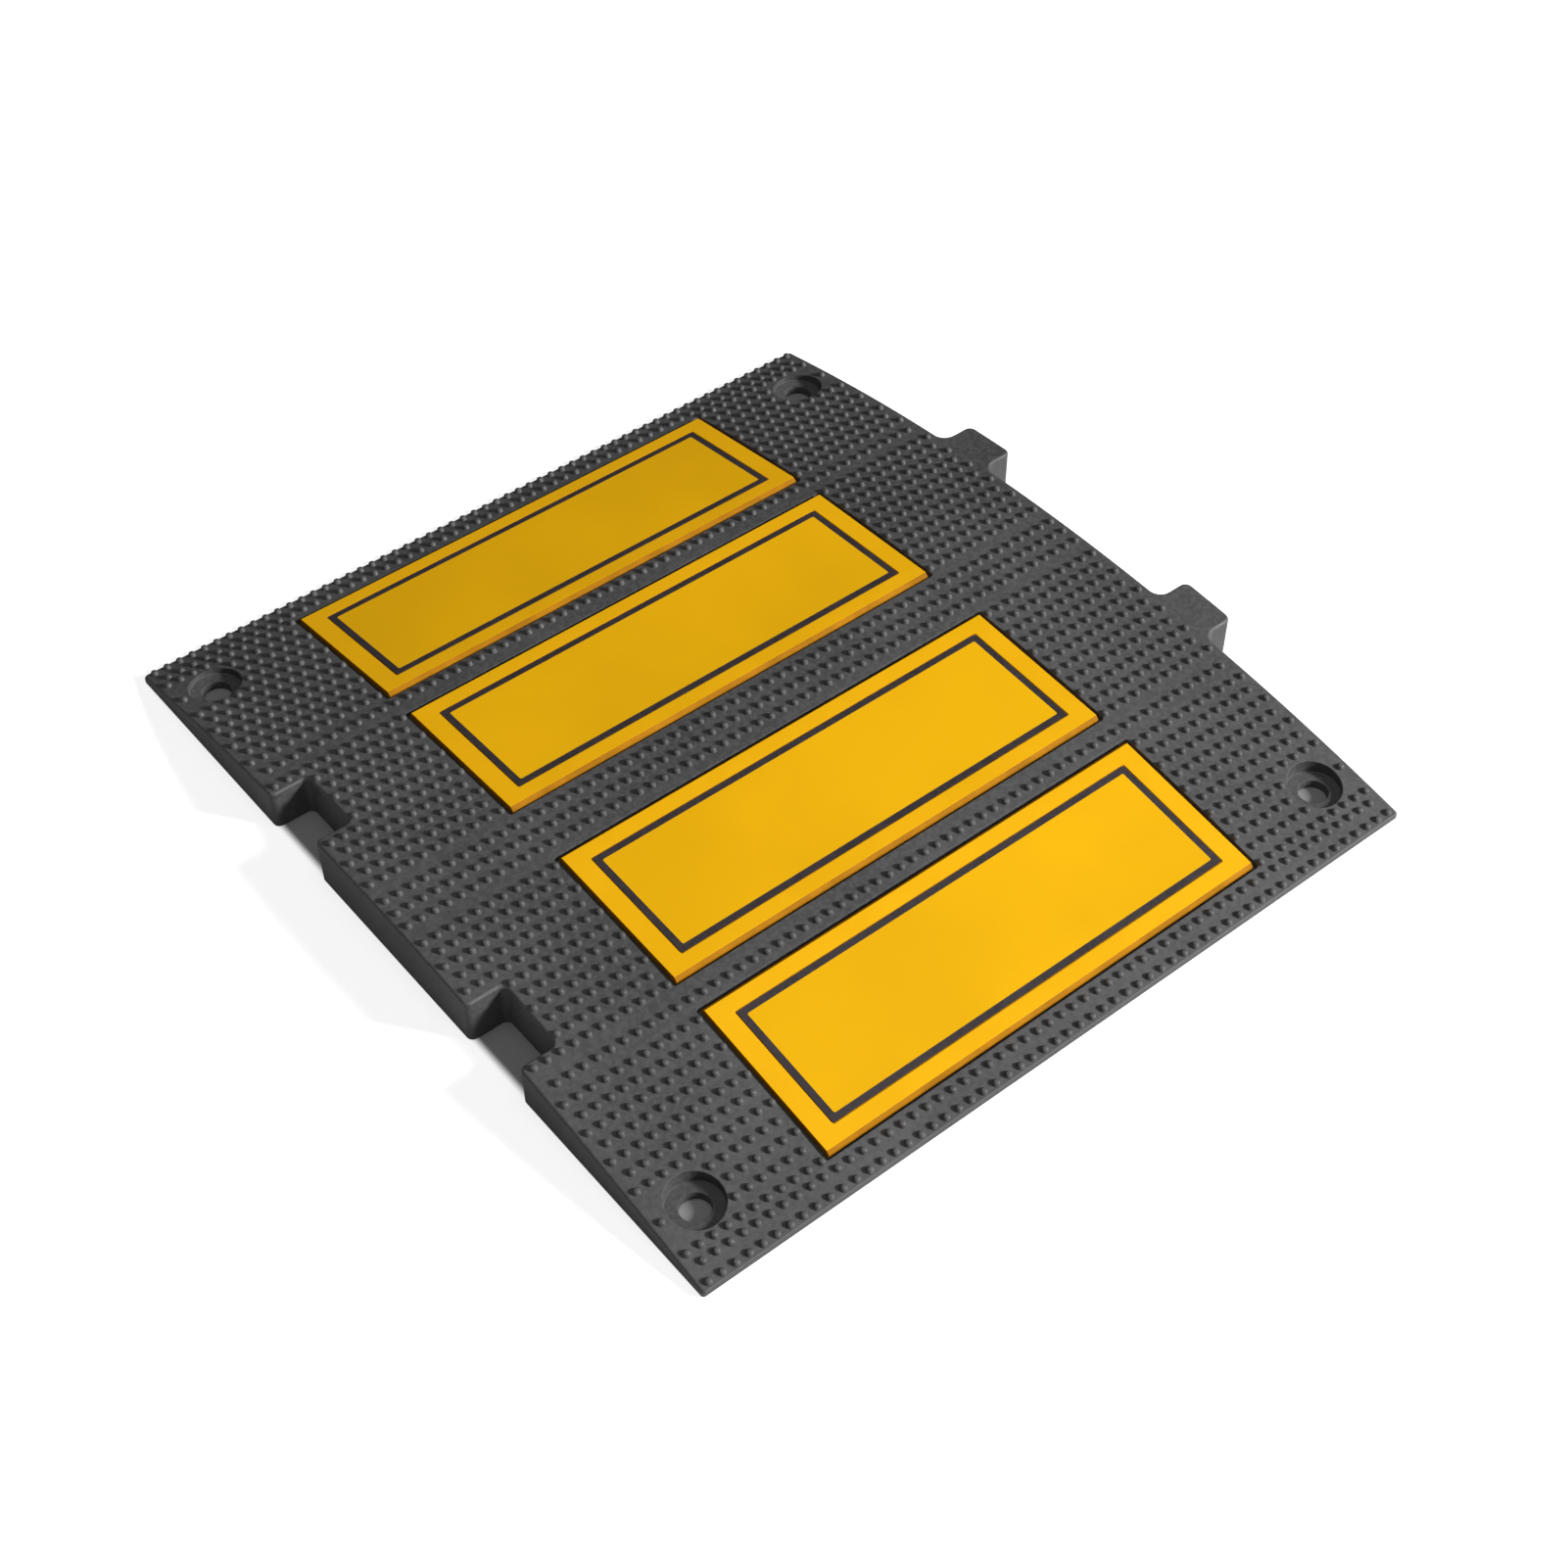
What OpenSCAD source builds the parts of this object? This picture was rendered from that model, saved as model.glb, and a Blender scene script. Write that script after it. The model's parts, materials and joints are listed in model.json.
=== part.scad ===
// Modular speed bump: one arched rubber module with four reflective tiles let into its top.
// X runs across the road, Y along the direction of travel and Z up, all in millimetres.
// The origin is at the centre of the footprint, on the road.

/* [Module] */
// Width across the road, without the tongues
module_w = 500; // [480:10:600]
// Length along the direction of travel
module_l = 550; // [530:10:650]
// Height of the crown above the road
crown_h = 32.4; // [30:0.2:45]
// Height of the front and rear edges
nose_h = 4.5; // [3.5:0.5:8]
// Rounding of the four upright corners and along the top of both side faces
edge_r = 2; // [1:0.5:4]

/* [Bolt holes] */
// Distance of a bolt hole from the nearest side face
bolt_inset_x = 27; // [25:0.5:40]
// Distance of a bolt hole from the nearest end
bolt_inset_y = 41; // [30:0.5:60]
// Diameter of the through hole, for an M16 anchor bolt
bolt_hole_d = 17.5; // [11:0.5:20]
// Diameter of the counterbore for the bolt's head and washer
counterbore_d = 32; // [26:1:36]
// Thickness of rubber left under the bolt's head
seat_h = 6; // [3:0.5:8]

/* [Tongues and pockets] */
// Distance between the two tongues, centre to centre
tongue_pitch = 196; // [150:2:240]
// Width of a tongue
tongue_w = 39; // [30:1:46]
// Reach of a tongue past the side face
tongue_l = 23; // [16:1:30]
// Rounding of a tongue's outer corners
tongue_tip_r = 5; // [2:0.5:8]
// Fillet where a tongue leaves the side face
tongue_root_r = 8; // [4:0.5:10]
// Rounding along the top of a tongue's end
tongue_edge_r = 2; // [1:0.5:4]
// Play between a tongue and each side of its pocket
pocket_side_play = 4; // [1:0.5:5]
// Play between a tongue's end and the back of its pocket
pocket_end_play = 1; // [0.5:0.5:4]
// Rounding of a pocket's inner corners
pocket_corner_r = 4; // [2:0.5:8]
// Rounding of the two edges at a pocket's mouth
pocket_mouth_r = 4; // [3:0.5:6]

/* [Reflective tiles] */
// Length of a tile across the road
tile_w = 306; // [280:1:330]
// Thickness of a tile
tile_t = 5.2; // [4:0.2:6]
// Bevel along both long edges of a tile
tile_bevel = 2.6; // [1:0.2:3]
// Height of a tile's face above the arch at its middle
tile_proud = 0.6; // [0.2:0.1:1.5]
// Gap between a recess and each end of its tile
tile_end_gap = 3; // [1:0.25:5]
// Gap between a recess and each long side of its tile
tile_side_gap = 1.75; // [0.75:0.25:3]
// Rounding of a recess's corners
recess_r = 2; // [1:0.5:4]
// Land between the two inner recesses, over the crown
crown_land = 41; // [30:1:50]
// Land between an inner and an outer recess
row_land = 17.5; // [12:0.5:22]
// Land between an outer recess and the end of the module
end_land = 19; // [15:0.5:25]
// Thickness of the adhesive pad under a tile
pad_t = 0.8; // [0.4:0.1:1.5]
// Distance of the pad's edge inside the tile's edge
pad_inset = 6; // [2:1:15]

/* [Border and sheet] */
// Distance of the border from the ends of a tile
border_inset_x = 13; // [8:0.5:25]
// Distance of the border from the long sides of a tile
border_inset_y = 12.5; // [8:0.5:20]
// Width of the border line
border_line = 4; // [2:0.5:8]
// Rounding of the border's outer corners
border_r = 1; // [0.5:0.5:8]
// Thickness of the border and the reflective sheet
sheet_t = 0.6; // [0.3:0.1:1]
// Clearance round the border and round the sheet
sheet_fit = 0.1; // [0.05:0.05:0.3]

/* [Studs] */
// Diameter of a stud
stud_d = 5; // [3:0.5:6]
// Height of a stud above the arch
stud_h = 2.4; // [1:0.2:4]
// Distance between two studs of a row
stud_pitch = 8.56; // [7:0.02:12]
// Distance between two rows beside a tile
stud_row_pitch = 10; // [8:0.5:14]
// Distance of the first and last rows from the ends of the recess they lie beside
stud_end = 5.5; // [4:0.5:8]
// Distance of the last row of all from the end of the module
stud_margin = 4; // [3:0.5:8]
// Least distance between a stud's centre and an edge
stud_clear = 5; // [4:0.5:8]
// The solid carries every how many studs of a row
stud_step = 3; // [1:1:6]
// The solid carries every how many rows beside a tile
row_step = 2; // [1:1:5]

/* [Underside] */
// Width of a cell across the road
cell_w = 36; // [20:1:40]
// Length of a cell along the direction of travel
cell_l = 32; // [20:1:34]
// Thickness of a rib across the road
rib_x = 11.5; // [6:0.5:12]
// Thickness of a rib along the direction of travel
rib_y = 10; // [5:0.5:12]
// Rounding of a cell's corners
cell_r = 3; // [1:0.5:6]
// Least height of a cell, below which it is left solid
cell_min_h = 6; // [3:0.5:10]
// Thickness of rubber between a cell and a recess
skin_t = 6; // [4:0.5:8]

/* [Hidden] */
// How far a cutter runs past the face that it cuts
over = 1;
$fn = 48;

half_w = module_w / 2;
half_l = module_l / 2;

// The arch is one circular arc from the front edge over the crown to the rear edge.
arch_rise = crown_h - nose_h;
arch_r = (half_l * half_l + arch_rise * arch_rise) / (2 * arch_rise);
arch_fn = 720;

bolt_x = half_w - bolt_inset_x;
bolt_y = half_l - bolt_inset_y;

pocket_l = tongue_l + pocket_end_play;
pocket_w = tongue_w + 2 * pocket_side_play;

// The four recesses share what the lands leave of the module's length.
recess_l = (module_l - crown_land - 2 * row_land - 2 * end_land) / 4;
recess_w = tile_w + 2 * tile_end_gap;
recess_depth = tile_t - tile_proud + pad_t;
tile_l = recess_l - 2 * tile_side_gap;
inner_row_y = (crown_land + recess_l) / 2;
outer_row_y = inner_row_y + recess_l + row_land;
ROWS = [
    ["front_outer", -outer_row_y],
    ["front_inner", -inner_row_y],
    ["rear_inner", inner_row_y],
    ["rear_outer", outer_row_y],
];

border_w = tile_w - 2 * border_inset_x;
border_l = tile_l - 2 * border_inset_y;

// Beside each recess lie as many rows of studs as its length holds.
rows_beside_tile = floor((recess_l - 2 * stud_end) / stud_row_pitch) + 1;
studs_per_side = floor((half_w - stud_clear) / stud_pitch);

// The cells fill the width that the pockets leave, with one rib to spare on each side.
cell_pitch_x = cell_w + rib_x;
cell_pitch_y = cell_l + rib_y;
cells_x = floor((module_w - 2 * pocket_l - rib_x) / cell_pitch_x);
cell_rows = floor(half_l / cell_pitch_y);

rubber_colour = "#4b4b4b";
tile_colour = "#ffc000";
sheet_colour = "#f0b80f";
border_colour = "#50464b";
pad_colour = "#202020";

// Height of the arch at distance y from the crown line
function arch_z(y) = crown_h - arch_r + sqrt(arch_r * arch_r - y * y);

// Moves its children onto the arch at distance y, with Z square to the surface.
module on_arch(y) {
    translate([0, 0, crown_h - arch_r])
        rotate([-asin(y / arch_r), 0, 0])
            translate([0, 0, arch_r])
                children();
}

// Repeats its children, mirrored, on both sides of the X axis.
module both_sides() {
    children();
    mirror([0, 1, 0])
        children();
}

// What lies between a square corner at the origin and the arc of radius r that rounds it.
module corner_web(r) {
    difference() {
        square(r);
        translate([r, r])
            circle(r);
    }
}

// Rectangle with rounded corners, centred on the origin.
module rounded_rect(w, l, r) {
    difference() {
        square([w, l], center = true);
        both_sides()
            for (flip = [0, 1])
                mirror([flip, 0, 0])
                    translate([w / 2, l / 2])
                        rotate(180)
                            corner_web(r);
    }
}

// Everything below the arch, out to half_width, with its shoulders rounded by r.
module arch_solid(half_width, r) {
    translate([0, 0, crown_h - arch_r])
        rotate([0, 90, 0])
            rotate_extrude($fn = arch_fn)
                difference() {
                    translate([0, -half_width])
                        square([arch_r, 2 * half_width]);
                    both_sides()
                        translate([arch_r, half_width])
                            rotate(180)
                                corner_web(r);
                }
}

// Outline of a tongue, which leaves the side face at x = 0 and reaches back under the rounded edge.
module tongue_outline() {
    root_w = tongue_w + 2 * tongue_root_r;
    root_l = edge_r + over;
    translate([-root_l, -root_w / 2])
        square([root_l, root_w]);
    both_sides()
        translate([0, tongue_w / 2])
            corner_web(tongue_root_r);
    difference() {
        translate([-root_l, -tongue_w / 2])
            square([root_l + tongue_l, tongue_w]);
        both_sides()
            translate([tongue_l, tongue_w / 2])
                rotate(180)
                    corner_web(tongue_tip_r);
    }
}

// Outline of a pocket, which opens in the side face at x = 0.
module pocket_outline() {
    both_sides()
        translate([0, pocket_w / 2])
            corner_web(pocket_mouth_r);
    difference() {
        translate([-over, -pocket_w / 2])
            square([over + pocket_l, pocket_w]);
        both_sides()
            translate([pocket_l, pocket_w / 2])
                rotate(180)
                    corner_web(pocket_corner_r);
    }
}

// Block of rubber under the arch, with its pockets but without its tongues.
module arched_block() {
    intersection() {
        arch_solid(half_w, edge_r);
        linear_extrude(crown_h + over)
            difference() {
                rounded_rect(module_w, module_l, edge_r);
                both_sides()
                    translate([-half_w, tongue_pitch / 2])
                        pocket_outline();
            }
    }
}

module tongues() {
    intersection() {
        arch_solid(half_w + tongue_l, tongue_edge_r);
        linear_extrude(crown_h + over)
            both_sides()
                translate([half_w, tongue_pitch / 2])
                    tongue_outline();
    }
}

// Through hole with the counterbore that sinks the bolt's head below the arch.
module bolt_hole() {
    translate([0, 0, -over])
        cylinder(h = crown_h, d = bolt_hole_d);
    translate([0, 0, seat_h])
        cylinder(h = crown_h, d = counterbore_d);
}

module bolt_holes() {
    for (x = [-bolt_x, bolt_x], y = [-bolt_y, bolt_y])
        translate([x, y, 0])
            bolt_hole();
}

// Space for a tile and its pad, cut square to the arch at the tile's middle.
module tile_recess() {
    translate([0, 0, -recess_depth])
        linear_extrude(2 * recess_depth)
            rounded_rect(recess_w, recess_l, recess_r);
}

// Cells under the body, each as deep as the skin below the recesses lets it be.
module underside_cells() {
    for (i = [0 : cells_x - 1], row = [-cell_rows : cell_rows]) {
        x = (i - (cells_x - 1) / 2) * cell_pitch_x;
        y = row * cell_pitch_y;
        far_y = min(abs(y) + cell_l / 2, half_l);
        roof_z = arch_z(far_y) - recess_depth - skin_t;
        if (roof_z > cell_min_h)
            translate([x, y, -over])
                linear_extrude(roof_z + over)
                    rounded_rect(cell_w, cell_l, cell_r);
    }
}

// True where a stud keeps clear of the counterbores and of the pockets.
function stud_fits(x, y) =
    let (
        from_hole = norm([abs(x) - bolt_x, abs(y) - bolt_y]),
        beside_pocket = abs(abs(y) - tongue_pitch / 2) < pocket_w / 2 + stud_clear,
        before_pocket = x > pocket_l + stud_clear - half_w
    )
    from_hole > counterbore_d / 2 + stud_clear && (before_pocket || !beside_pocket);

// One row of studs across the module, left open in the middle as far out as clear_x.
module stud_row(y, clear_x) {
    for (side = [-1, 1], k = [0 : stud_step : studs_per_side]) {
        x = side * (k + 0.5) * stud_pitch;
        if (abs(x) > clear_x && abs(x) < half_w - stud_clear && stud_fits(x, y))
            on_arch(y)
                translate([x, 0, -over])
                    cylinder(h = stud_h + over, d = stud_d);
    }
}

// The studs that the solid carries: full rows on the lands and short rows beside the tiles.
module studs() {
    stud_row(0, 0);
    both_sides() {
        stud_row(half_l - stud_margin, 0);
        stud_row((inner_row_y + outer_row_y) / 2, 0);
        for (tile_y = [inner_row_y, outer_row_y], k = [0 : row_step : rows_beside_tile - 1])
            stud_row(tile_y + (k - (rows_beside_tile - 1) / 2) * stud_row_pitch, recess_w / 2 + stud_clear);
    }
}

module rubber_body() {
    color(rubber_colour)
        difference() {
            union() {
                arched_block();
                tongues();
                studs();
            }
            bolt_holes();
            for (row = ROWS)
                on_arch(row[1])
                    tile_recess();
            underside_cells();
        }
}

// Flat bar with both long edges bevelled and a shallow seat for the border and the sheet.
module tile(y) {
    side = tile_l / 2;
    color(tile_colour)
        on_arch(y)
            translate([0, 0, tile_proud])
                difference() {
                    rotate([90, 0, 90])
                        linear_extrude(tile_w, center = true)
                            polygon([
                                [-side, -tile_t],
                                [side, -tile_t],
                                [side, -tile_bevel],
                                [side - tile_bevel, 0],
                                [-side + tile_bevel, 0],
                                [-side, -tile_bevel],
                            ]);
                    translate([0, 0, -sheet_t])
                        linear_extrude(sheet_t + over)
                            rounded_rect(border_w + 2 * sheet_fit, border_l + 2 * sheet_fit, border_r);
                }
}

// Frame round the reflective sheet, level with the tile's face.
module border(y) {
    color(border_colour)
        on_arch(y)
            translate([0, 0, tile_proud - sheet_t])
                linear_extrude(sheet_t)
                    difference() {
                        rounded_rect(border_w, border_l, border_r);
                        rounded_rect(border_w - 2 * border_line, border_l - 2 * border_line, border_r);
                    }
}

module sheet(y) {
    inset = border_line + sheet_fit;
    color(sheet_colour)
        on_arch(y)
            translate([0, 0, tile_proud - sheet_t])
                linear_extrude(sheet_t)
                    rounded_rect(border_w - 2 * inset, border_l - 2 * inset, border_r);
}

// Adhesive that bonds a tile to the floor of its recess.
module pad(y) {
    color(pad_colour)
        on_arch(y)
            translate([0, 0, -recess_depth])
                linear_extrude(pad_t)
                    square([tile_w - 2 * pad_inset, tile_l - 2 * pad_inset], center = true);
}

rubber_body();
for (row = ROWS) {
    tile(row[1]);
    border(row[1]);
    sheet(row[1]);
    pad(row[1]);
}
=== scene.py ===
"""Looks of the modular speed bump: the rubber module and its studs, the reflective tiles and the stage."""
import json
import math

import bmesh
import bpy
from bpy.props import FloatProperty, FloatVectorProperty, IntProperty, PointerProperty
from bpy.types import Operator, Panel, PropertyGroup
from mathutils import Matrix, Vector


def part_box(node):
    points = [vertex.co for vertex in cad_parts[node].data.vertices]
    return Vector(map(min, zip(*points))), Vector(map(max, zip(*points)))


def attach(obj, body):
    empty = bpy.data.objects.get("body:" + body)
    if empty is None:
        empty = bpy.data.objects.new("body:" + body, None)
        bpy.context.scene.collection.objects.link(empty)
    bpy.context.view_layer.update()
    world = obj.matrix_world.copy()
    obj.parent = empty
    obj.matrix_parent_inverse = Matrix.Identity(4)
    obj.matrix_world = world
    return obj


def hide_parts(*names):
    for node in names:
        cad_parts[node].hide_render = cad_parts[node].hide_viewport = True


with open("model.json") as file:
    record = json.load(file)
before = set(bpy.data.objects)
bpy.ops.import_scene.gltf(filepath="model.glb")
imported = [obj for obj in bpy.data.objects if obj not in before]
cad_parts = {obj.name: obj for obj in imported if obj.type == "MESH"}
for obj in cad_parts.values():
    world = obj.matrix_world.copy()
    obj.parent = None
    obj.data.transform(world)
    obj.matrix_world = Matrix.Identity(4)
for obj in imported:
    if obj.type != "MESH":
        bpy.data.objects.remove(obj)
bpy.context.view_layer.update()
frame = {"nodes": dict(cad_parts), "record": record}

bl_info = {
    "name": "Modular speed bump",
    "version": (1, 0, 0),
    "blender": (4, 5, 0),
    "location": "View3D > Sidebar > Speed Bump",
    "description": "Builds one rubber speed bump module with its studs, reflective tiles and stage",
    "category": "Object",
}

BODY_LOW, BODY_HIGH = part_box("rubber_body")
BOLTS = next(mount["dims"] for mount in frame["record"]["mounts"] if mount["name"] == "anchor_bolts")
ROWS = ("front_outer", "front_inner", "rear_inner", "rear_outer")
MM = 0.001
TOUCH = 0.01 * MM
OVERSHOOT = 10 * MM
CORNER_STEPS = 8

# Width of the camera's sensor in millimetres
SENSOR_WIDTH = 36

# Upward share of a face's normal below which the face is a side, and above which it is a top
SIDE_FACE = 0.3
TOP_FACE = 0.9

# Angle between two faces above which their edge counts as sharp, also for the low-sided studs
SHARP_ANGLE = math.radians(32)
STUD_SHARP_ANGLE = math.radians(50)

# Sockets of a mix node in its colour mode
MIX_FIRST = 6
MIX_SECOND = 7
MIX_RESULT = 2


# Settings

def distance(name, description, millimetres):
    """A distance property whose default is given in millimetres."""
    return FloatProperty(
        name=name, description=description, default=millimetres * MM, unit="LENGTH", precision=5, min=0
    )


def colour(name, description, rgb):
    """A colour property."""
    return FloatVectorProperty(
        name=name, description=description, default=rgb, size=3, subtype="COLOR", min=0, max=1
    )


def whole(name, description, value, least=1):
    """A whole number property."""
    return IntProperty(name=name, description=description, default=value, min=least)


def position(name, description, metres):
    """A position property whose default is given in metres."""
    return FloatVectorProperty(name=name, description=description, default=metres, subtype="TRANSLATION")


class ModuleSizes(PropertyGroup):
    """Sizes of the rubber module."""

    width: distance("Width", "Across the road, without the tongues", -2 * BODY_LOW.x / MM)
    length: distance("Length", "Along the direction of travel", (BODY_HIGH.y - BODY_LOW.y) / MM)
    crown: distance("Crown", "Height of the crown above the road, without studs", 32.4)
    nose: distance("Nose", "Height of the front and rear edges", 4.5)
    arch_strips: whole("Arch strips", "Flat strips that make up the arch", 60, least=8)
    corner_radius: distance("Corner radius", "Rounding of the four upright corners", 2)
    rim_radius: distance("Rim radius", "Rounding along the top of the side faces", 1.9)
    nose_radius: distance("Nose radius", "Rounding along the top of the front and rear edges", 1.2)
    soft_edge: distance("Soft edge", "Rounding of every other moulded edge", 0.6)


class TongueSizes(PropertyGroup):
    """Sizes of the tongues and the pockets that take them."""

    pitch: distance("Pitch", "Distance between the two tongues", 196)
    width: distance("Width", "Width of a tongue", 39)
    reach: distance("Reach", "Reach of a tongue past the side face", (BODY_HIGH.x + BODY_LOW.x) / MM)
    tip_radius: distance("Tip radius", "Rounding of a tongue's outer corners", 5)
    root_radius: distance("Root radius", "Fillet where a tongue leaves the side face", 8)
    pocket_width: distance("Pocket width", "Width of a pocket", 47)
    pocket_depth: distance("Pocket depth", "Depth of a pocket", 24)
    pocket_radius: distance("Pocket radius", "Rounding of a pocket's inner corners and mouth", 4)


class BoltHoleSizes(PropertyGroup):
    """Sizes of the four sunk bolt holes."""

    spacing_x: distance("Spacing across", "Distance between holes across the road", BOLTS["spacing_x_mm"])
    spacing_y: distance("Spacing along", "Distance between holes along the road", BOLTS["spacing_y_mm"])
    radius: distance("Radius", "Radius of the through hole", BOLTS["hole_r_mm"])
    counterbore_radius: distance("Counterbore", "Radius of the counterbore", 16)
    seat: distance("Seat", "Thickness of rubber under the bolt's head", 6)
    sides: whole("Sides", "Flat sides that make up a hole", 72, least=12)


class CellSizes(PropertyGroup):
    """Sizes of the cells on the underside."""

    width: distance("Width", "Width of a cell across the road", 36)
    length: distance("Length", "Length of a cell along the road", 32)
    pitch_x: distance("Pitch across", "Distance between cells across the road", 47.5)
    pitch_y: distance("Pitch along", "Distance between cells along the road", 42)
    columns: whole("Columns", "Cells across the road", 9)
    rows: whole("Rows", "Rows of cells on each side of the middle row", 4, least=0)
    corner_radius: distance("Corner radius", "Rounding of a cell's corners", 3)
    cover: distance("Cover", "Depth from the arch to a cell's roof", 11.4)


class TileSizes(PropertyGroup):
    """Sizes of the reflective tiles and their recesses."""

    width: distance("Width", "Size of a tile across the road", 306)
    length: distance("Length", "Size of a tile along the road", 105.5)
    thickness: distance("Thickness", "Thickness of a tile", 5.2)
    bevel: distance("Bevel", "Bevel along both long edges", 2)
    proud: distance("Proud", "Height of a tile's face above the arch at its middle", 0.6)
    soft_edge: distance("Soft edge", "Rounding of a tile's edges", 0.35)
    end_gap: distance("End gap", "Gap between a recess and each end of its tile", 3)
    side_gap: distance("Side gap", "Gap between a recess and each long side of its tile", 1.75)
    recess_depth: distance("Recess depth", "Depth of a recess below the arch", 5.4)
    recess_radius: distance("Recess radius", "Rounding of a recess's corners", 2)
    seat_width: distance("Seat width", "Size of the seat for border and sheet across the road", 281.2)
    seat_length: distance("Seat length", "Size of the seat for border and sheet along the road", 81.7)
    seat_depth: distance("Seat depth", "Depth of the seat", 0.6)
    seat_radius: distance("Seat radius", "Rounding of the seat's corners", 1)


class StudSizes(PropertyGroup):
    """Sizes and spacing of the raised studs."""

    base_radius: distance("Base radius", "Radius of a stud at its foot", 2.8)
    top_radius: distance("Top radius", "Radius of a stud at its top", 1.65)
    height: distance("Height", "Height of a stud", 2.4)
    top_bevel: distance("Top bevel", "Rounding of a stud's top", 0.7)
    sides: whole("Sides", "Flat sides that make up a stud", 10, least=4)
    pitch: distance("Pitch", "Distance between studs along a row", 8.56)
    row_pitch: distance("Row pitch", "Distance between rows", 10.05)
    row_length: whole("Row length", "Studs in the longer rows", 58, least=2)
    crown_row: distance("Crown row", "First row beside the crown line", 11.2)
    inner_row: distance("Inner row", "First row beside the inner tiles", 26.25)
    middle_row: distance("Middle row", "Row between the inner and the outer tiles", 141)
    outer_row: distance("Outer row", "First row beside the outer tiles", 153.6)
    rows_beside_tile: whole("Rows beside a tile", "Rows of studs beside a tile", 11)
    end_row: distance("End row", "First of the two rows behind the outer tiles", 261.5)
    tile_clearance: distance("Tile clearance", "Half of the width that a tile keeps free of studs", 157)
    hole_clearance: distance("Hole clearance", "Radius round a bolt hole that is free of studs", 20)


class Colours(PropertyGroup):
    """Colours of the object and the floor."""

    rubber: colour("Rubber", "Main colour of the rubber", (0.05, 0.05, 0.052))
    rubber_dust: colour("Rubber dust", "Colour of the dust on the rubber", (0.14, 0.137, 0.134))
    tile: colour("Tile", "Yellow of the tiles", (0.95, 0.49, 0.003))
    # Painted shade: this edge colour is a darker copy of the tile yellow, standing in for the shade on a
    # tile's bevels and sides.
    painted_shade_tile_edge: colour("Tile edge", "Deeper yellow of a tile's bevels and sides", (0.42, 0.17, 0.004))
    sheet: colour("Sheet", "Yellow of the reflective sheets", (0.91, 0.48, 0.003))
    border: colour("Border", "Border round the reflective sheets", (0.03, 0.02, 0.022))
    adhesive: colour("Adhesive", "Adhesive pads", (0.012, 0.012, 0.012))
    floor: colour("Floor", "Floor of the stage", (0.86, 0.86, 0.86))
    # Painted shade: a grey floor colour put under the module for the shade there, seen through its holes and
    # pockets.
    floor_painted_shade: colour("Floor painted shade", "Floor under the module, seen through its holes", (0.3, 0.3, 0.3))


class StageSettings(PropertyGroup):
    """Camera, lamps and floor."""

    camera_place: position("Camera", "Place of the camera", (-0.6266, -0.8131, 1.0705))
    camera_turn: FloatVectorProperty(
        name="Camera turn",
        description="Direction of the camera",
        default=(math.radians(42.969), math.radians(0.300), math.radians(-38.912)),
        subtype="EULER",
    )
    lens: FloatProperty(name="Lens", description="Focal length", default=58.1, unit="CAMERA")
    key_place: position("Key place", "Place of the key lamp", (3.41, -4.06, 2.7))
    key_size: distance("Key size", "Side of the key lamp", 1100)
    key_power: FloatProperty(name="Key", description="Power of the key lamp", default=490, unit="POWER")
    fill_place: position("Fill place", "Place of the overhead lamp", (-0.6, -0.5, 2.6))
    fill_size: distance("Fill size", "Side of the overhead lamp", 2400)
    fill_power: FloatProperty(name="Fill", description="Power of the overhead lamp", default=18, unit="POWER")
    ambient: FloatProperty(name="Ambient", description="Strength of the light all round", default=0.06, min=0)
    floor_lift: FloatProperty(
        name="Floor lift", description="Glow of the floor that only the camera sees", default=0.7
    )
    floor_size: distance("Floor size", "Side of the square floor", 6000)
    floor_drop: distance("Floor drop", "Distance from the module down to the floor", 0.1)
    # The painted shade under the module fades to the pale floor over this strip.
    floor_blend: distance("Floor blend", "Strip under the module's edge over which the floor lightens", 6)


class SpeedBumpSettings(PropertyGroup):
    """All sizes, colours and stage settings."""

    module: PointerProperty(type=ModuleSizes)
    tongue: PointerProperty(type=TongueSizes)
    hole: PointerProperty(type=BoltHoleSizes)
    cell: PointerProperty(type=CellSizes)
    tile: PointerProperty(type=TileSizes)
    stud: PointerProperty(type=StudSizes)
    colours: PointerProperty(type=Colours)
    stage: PointerProperty(type=StageSettings)


# Arch

def arch_radius(module):
    """Radius of the arc that runs from the front edge over the crown to the rear edge."""
    rise = module.crown - module.nose
    half_length = module.length / 2
    return (half_length ** 2 + rise ** 2) / (2 * rise)


def arch_height(module, y):
    """Height of the arch at distance y from the crown line."""
    radius = arch_radius(module)
    return module.crown - radius + math.sqrt(radius ** 2 - y ** 2)


def row_place(row):
    """Distance of a row of tiles from the crown line."""
    low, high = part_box("sheet_" + row)
    return (low.y + high.y) / 2


# Selecting, shaping and finishing

def activate(obj):
    """Makes an object the only selected one."""
    bpy.ops.object.select_all(action="DESELECT")
    obj.select_set(True)
    bpy.context.view_layer.objects.active = obj


def edit(obj):
    """Opens an object in edit mode."""
    activate(obj)
    bpy.ops.object.mode_set(mode="EDIT")


def close_edit():
    """Leaves edit mode."""
    bpy.ops.object.mode_set(mode="OBJECT")


def pick(kind, test=lambda item: True):
    """Selects only the vertices, edges or faces that pass the test."""
    bpy.ops.mesh.select_mode(type=kind)
    bpy.ops.mesh.select_all(action="DESELECT")
    data = bpy.context.edit_object.data
    mesh = bmesh.from_edit_mesh(data)
    items = {"VERT": mesh.verts, "EDGE": mesh.edges, "FACE": mesh.faces}[kind]
    mesh.normal_update()
    for item in items:
        if test(item):
            item.select_set(True)
    mesh.select_flush_mode()
    bmesh.update_edit_mesh(data)


def middle(item):
    """Middle of an edge or a face."""
    return sum((v.co for v in item.verts), Vector()) / len(item.verts)


def upright(edge):
    """Whether an edge runs along Z."""
    first, second = (v.co for v in edge.verts)
    return (first - second).xy.length < TOUCH


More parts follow.
